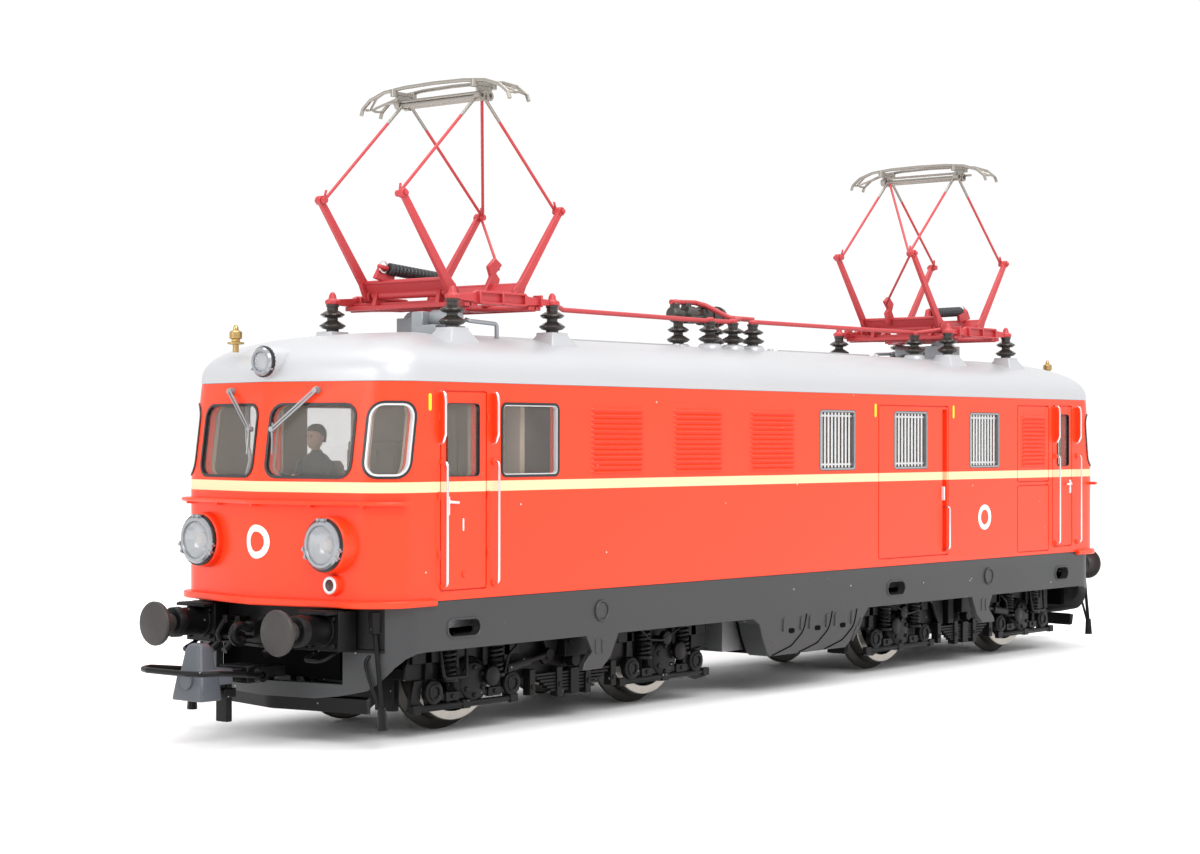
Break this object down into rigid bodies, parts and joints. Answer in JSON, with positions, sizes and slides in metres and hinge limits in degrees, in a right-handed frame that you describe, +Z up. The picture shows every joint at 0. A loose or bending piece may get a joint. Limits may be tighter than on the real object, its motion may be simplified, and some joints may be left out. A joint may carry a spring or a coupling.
{
  "type": "model electric locomotive",
  "caption": "Scale model electric locomotive with diamond pantographs, swivelling driven bogies, sprung buffers and loop couplers.",
  "frame": {"origin": "plane of the wheel flange bottoms, midway between the buffers, on the centre line", "axes": "+X along the locomotive towards the end without the driver, +Y to the left seen from the driver's end looking along +X, +Z up"},
  "size_m": [0.1988, 0.0352, 0.0776],
  "materials": {
    "red_body": "satin orange-red lacquer on moulded plastic",
    "silver_roof": "silver lacquer with a slight soft sheen",
    "clear_plastic": "clear polystyrene",
    "grey_frame": "satin dark grey",
    "zinc_casting": "cast and blackened",
    "board": "green circuit board",
    "cab_plastic": "matt beige moulding",
    "figure_paint": "matt hand-painted figure",
    "motor_steel": "plated steel",
    "black_plastic": "matt black moulding",
    "wheel_steel": "blackened wheels with bright turned treads",
    "brass": "turned brass",
    "red_rod": "red lacquer on metal",
    "dark_steel": "blackened wire",
    "grey_metal": "chemically darkened metal",
    "buffer_brown": "burnished brown-black metal",
    "insulator_black": "glossy dark brown-black"
  },
  "bodies": {
    "root": {"body_shell": "red_body", "roof_shell": "silver_roof", "glazing_front": "clear_plastic", "glazing_rear": "clear_plastic", "glazing_left": "clear_plastic", "glazing_right": "clear_plastic", "sill_frame": "grey_frame", "chassis_block": "zinc_casting", "circuit_board": "board", "cab_interior_front": "cab_plastic", "cab_interior_rear": "cab_plastic", "driver_figure": "figure_paint", "light_guide_front": "clear_plastic", "light_guide_rear": "clear_plastic", "motor_housing": "motor_steel", "pantograph_base_front": "red_rod", "pantograph_base_rear": "red_rod", "pantograph_spring_front": "dark_steel", "pantograph_spring_rear": "dark_steel", "whistle_front": "brass", "whistle_rear": "brass", "main_breaker": "insulator_black", "busbar_front": "red_rod", "busbar_rear": "red_rod"},
    "rotor": {"motor_rotor": "motor_steel", "cardan_shaft_front": "black_plastic", "cardan_shaft_rear": "black_plastic"},
    "bogie_front": {"gear_case_front": "black_plastic", "keeper_plate_front": "black_plastic", "bogie_sides_front": "black_plastic"},
    "bogie_rear": {"gear_case_rear": "black_plastic", "keeper_plate_rear": "black_plastic", "bogie_sides_rear": "black_plastic"},
    "axle_front_outer": {"wheelset_front_outer": "wheel_steel"},
    "axle_front_inner": {"wheelset_front_inner": "wheel_steel"},
    "axle_rear_inner": {"wheelset_rear_inner": "wheel_steel"},
    "axle_rear_outer": {"wheelset_rear_outer": "wheel_steel"},
    "worm_gear_front": {"worm_front": "brass"},
    "worm_gear_rear": {"worm_rear": "brass"},
    "worm_wheel_gear_front": {"worm_wheel_front": "black_plastic"},
    "worm_wheel_gear_rear": {"worm_wheel_rear": "black_plastic"},
    "lower_outer_front": {"lower_arms_outer_front": "red_rod"},
    "lower_inner_front": {"lower_arms_inner_front": "red_rod"},
    "upper_outer_front": {"upper_arms_outer_front": "red_rod"},
    "upper_inner_front": {"upper_arms_inner_front": "red_rod"},
    "head_front": {"pantograph_head_front": "grey_metal"},
    "lower_outer_rear": {"lower_arms_outer_rear": "red_rod"},
    "lower_inner_rear": {"lower_arms_inner_rear": "red_rod"},
    "upper_outer_rear": {"upper_arms_outer_rear": "red_rod"},
    "upper_inner_rear": {"upper_arms_inner_rear": "red_rod"},
    "head_rear": {"pantograph_head_rear": "grey_metal"},
    "coupler_front": {"coupler_head_front": "grey_metal"},
    "coupler_rear": {"coupler_head_rear": "grey_metal"},
    "loop_front": {"coupler_loop_front": "dark_steel"},
    "loop_rear": {"coupler_loop_rear": "dark_steel"},
    "plunger_front_a": {"buffer_front_a": "buffer_brown"},
    "plunger_front_b": {"buffer_front_b": "buffer_brown"},
    "plunger_rear_a": {"buffer_rear_a": "buffer_brown"},
    "plunger_rear_b": {"buffer_rear_b": "buffer_brown"}
  },
  "joints": [
    {"name": "motor_spin", "type": "hinge", "parent": "root", "child": "rotor", "pos_m": [0, 0, 0.0206], "axis": [1, 0, 0], "continuous": true},
    {"name": "bogie_front_yaw", "type": "hinge", "parent": "root", "child": "bogie_front", "pos_m": [-0.04635, 0, 0.0125], "axis": [0, 0, 1], "range_deg": [-7, 7]},
    {"name": "bogie_rear_yaw", "type": "hinge", "parent": "root", "child": "bogie_rear", "pos_m": [0.04635, 0, 0.0125], "axis": [0, 0, 1], "range_deg": [-7, 7]},
    {"name": "axle_front_outer_spin", "type": "hinge", "parent": "bogie_front", "child": "axle_front_outer", "pos_m": [-0.0644, 0, 0.00857], "axis": [0, 1, 0], "continuous": true},
    {"name": "axle_front_inner_spin", "type": "hinge", "parent": "bogie_front", "child": "axle_front_inner", "pos_m": [-0.0283, 0, 0.00857], "axis": [0, 1, 0], "continuous": true},
    {"name": "axle_rear_inner_spin", "type": "hinge", "parent": "bogie_rear", "child": "axle_rear_inner", "pos_m": [0.0283, 0, 0.00857], "axis": [0, 1, 0], "continuous": true},
    {"name": "axle_rear_outer_spin", "type": "hinge", "parent": "bogie_rear", "child": "axle_rear_outer", "pos_m": [0.0644, 0, 0.00857], "axis": [0, 1, 0], "continuous": true},
    {"name": "worm_front_spin", "type": "hinge", "parent": "bogie_front", "child": "worm_gear_front", "pos_m": [-0.04635, 0, 0.0206], "axis": [1, 0, 0], "continuous": true},
    {"name": "worm_rear_spin", "type": "hinge", "parent": "bogie_rear", "child": "worm_gear_rear", "pos_m": [0.04635, 0, 0.0206], "axis": [1, 0, 0], "continuous": true},
    {"name": "worm_wheel_front_spin", "type": "hinge", "parent": "bogie_front", "child": "worm_wheel_gear_front", "pos_m": [-0.04635, 0, 0.01465], "axis": [0, 1, 0], "continuous": true},
    {"name": "worm_wheel_rear_spin", "type": "hinge", "parent": "bogie_rear", "child": "worm_wheel_gear_rear", "pos_m": [0.04635, 0, 0.01465], "axis": [0, 1, 0], "continuous": true},
    {"name": "pantograph_front_fold", "type": "hinge", "parent": "root", "child": "lower_outer_front", "pos_m": [-0.06155, 0, 0.05135], "axis": [0, -1, 0], "range_deg": [0, 37.8]},
    {"name": "pantograph_front_inner_arm", "type": "hinge", "parent": "root", "child": "lower_inner_front", "pos_m": [-0.05015, 0, 0.05135], "axis": [0, 1, 0], "range_deg": [0, 37.8]},
    {"name": "pantograph_front_outer_knee", "type": "hinge", "parent": "lower_outer_front", "child": "upper_outer_front", "pos_m": [-0.0699, 0, 0.0624], "axis": [0, 1, 0], "range_deg": [0, 75.6]},
    {"name": "pantograph_front_inner_knee", "type": "hinge", "parent": "lower_inner_front", "child": "upper_inner_front", "pos_m": [-0.0418, 0, 0.0624], "axis": [0, -1, 0], "range_deg": [0, 75.6]},
    {"name": "pantograph_front_head_tilt", "type": "hinge", "parent": "upper_outer_front", "child": "head_front", "pos_m": [-0.0566, 0, 0.07515], "axis": [0, -1, 0], "range_deg": [0, 37.8]},
    {"name": "pantograph_rear_fold", "type": "hinge", "parent": "root", "child": "lower_outer_rear", "pos_m": [0.06155, 0, 0.05135], "axis": [0, 1, 0], "range_deg": [0, 37.8]},
    {"name": "pantograph_rear_inner_arm", "type": "hinge", "parent": "root", "child": "lower_inner_rear", "pos_m": [0.05015, 0, 0.05135], "axis": [0, -1, 0], "range_deg": [0, 37.8]},
    {"name": "pantograph_rear_outer_knee", "type": "hinge", "parent": "lower_outer_rear", "child": "upper_outer_rear", "pos_m": [0.0699, 0, 0.0624], "axis": [0, -1, 0], "range_deg": [0, 75.6]},
    {"name": "pantograph_rear_inner_knee", "type": "hinge", "parent": "lower_inner_rear", "child": "upper_inner_rear", "pos_m": [0.0418, 0, 0.0624], "axis": [0, 1, 0], "range_deg": [0, 75.6]},
    {"name": "pantograph_rear_head_tilt", "type": "hinge", "parent": "upper_outer_rear", "child": "head_rear", "pos_m": [0.0566, 0, 0.07515], "axis": [0, 1, 0], "range_deg": [0, 37.8]},
    {"name": "coupler_front_swing", "type": "hinge", "parent": "root", "child": "coupler_front", "pos_m": [-0.0846, 0, 0.0078], "axis": [0, 0, 1], "range_deg": [-12, 12], "stiffness_Nm_per_rad": 0.001},
    {"name": "coupler_rear_swing", "type": "hinge", "parent": "root", "child": "coupler_rear", "pos_m": [0.0846, 0, 0.0078], "axis": [0, 0, 1], "range_deg": [-12, 12], "stiffness_Nm_per_rad": 0.001},
    {"name": "coupler_front_loop_lift", "type": "hinge", "parent": "coupler_front", "child": "loop_front", "pos_m": [-0.0881, 0, 0.0078], "axis": [0, 1, 0], "range_deg": [0, 22]},
    {"name": "coupler_rear_loop_lift", "type": "hinge", "parent": "coupler_rear", "child": "loop_rear", "pos_m": [0.0881, 0, 0.0078], "axis": [0, -1, 0], "range_deg": [0, 22]},
    {"name": "buffer_front_a_press", "type": "slide", "parent": "root", "child": "plunger_front_a", "axis": [1, 0, 0], "range_m": [0, 0.001], "stiffness_N_per_m": 300},
    {"name": "buffer_front_b_press", "type": "slide", "parent": "root", "child": "plunger_front_b", "axis": [1, 0, 0], "range_m": [0, 0.001], "stiffness_N_per_m": 300},
    {"name": "buffer_rear_a_press", "type": "slide", "parent": "root", "child": "plunger_rear_a", "axis": [-1, 0, 0], "range_m": [0, 0.001], "stiffness_N_per_m": 300},
    {"name": "buffer_rear_b_press", "type": "slide", "parent": "root", "child": "plunger_rear_b", "axis": [-1, 0, 0], "range_m": [0, 0.001], "stiffness_N_per_m": 300}
  ],
  "couplings": [
    {"joint": "worm_front_spin", "follows": "motor_spin", "ratio": 1},
    {"joint": "worm_rear_spin", "follows": "motor_spin", "ratio": 1},
    {"joint": "worm_wheel_front_spin", "follows": "motor_spin", "ratio": 0.0625},
    {"joint": "worm_wheel_rear_spin", "follows": "motor_spin", "ratio": 0.0625},
    {"joint": "axle_front_outer_spin", "follows": "motor_spin", "ratio": 0.0726},
    {"joint": "axle_front_inner_spin", "follows": "motor_spin", "ratio": 0.0726},
    {"joint": "axle_rear_inner_spin", "follows": "motor_spin", "ratio": 0.0726},
    {"joint": "axle_rear_outer_spin", "follows": "motor_spin", "ratio": 0.0726},
    {"joint": "pantograph_front_inner_arm", "follows": "pantograph_front_fold", "ratio": 1},
    {"joint": "pantograph_front_outer_knee", "follows": "pantograph_front_fold", "ratio": 2},
    {"joint": "pantograph_front_inner_knee", "follows": "pantograph_front_fold", "ratio": 2},
    {"joint": "pantograph_front_head_tilt", "follows": "pantograph_front_fold", "ratio": 1},
    {"joint": "pantograph_rear_inner_arm", "follows": "pantograph_rear_fold", "ratio": 1},
    {"joint": "pantograph_rear_outer_knee", "follows": "pantograph_rear_fold", "ratio": 2},
    {"joint": "pantograph_rear_inner_knee", "follows": "pantograph_rear_fold", "ratio": 2},
    {"joint": "pantograph_rear_head_tilt", "follows": "pantograph_rear_fold", "ratio": 1}
  ]
}
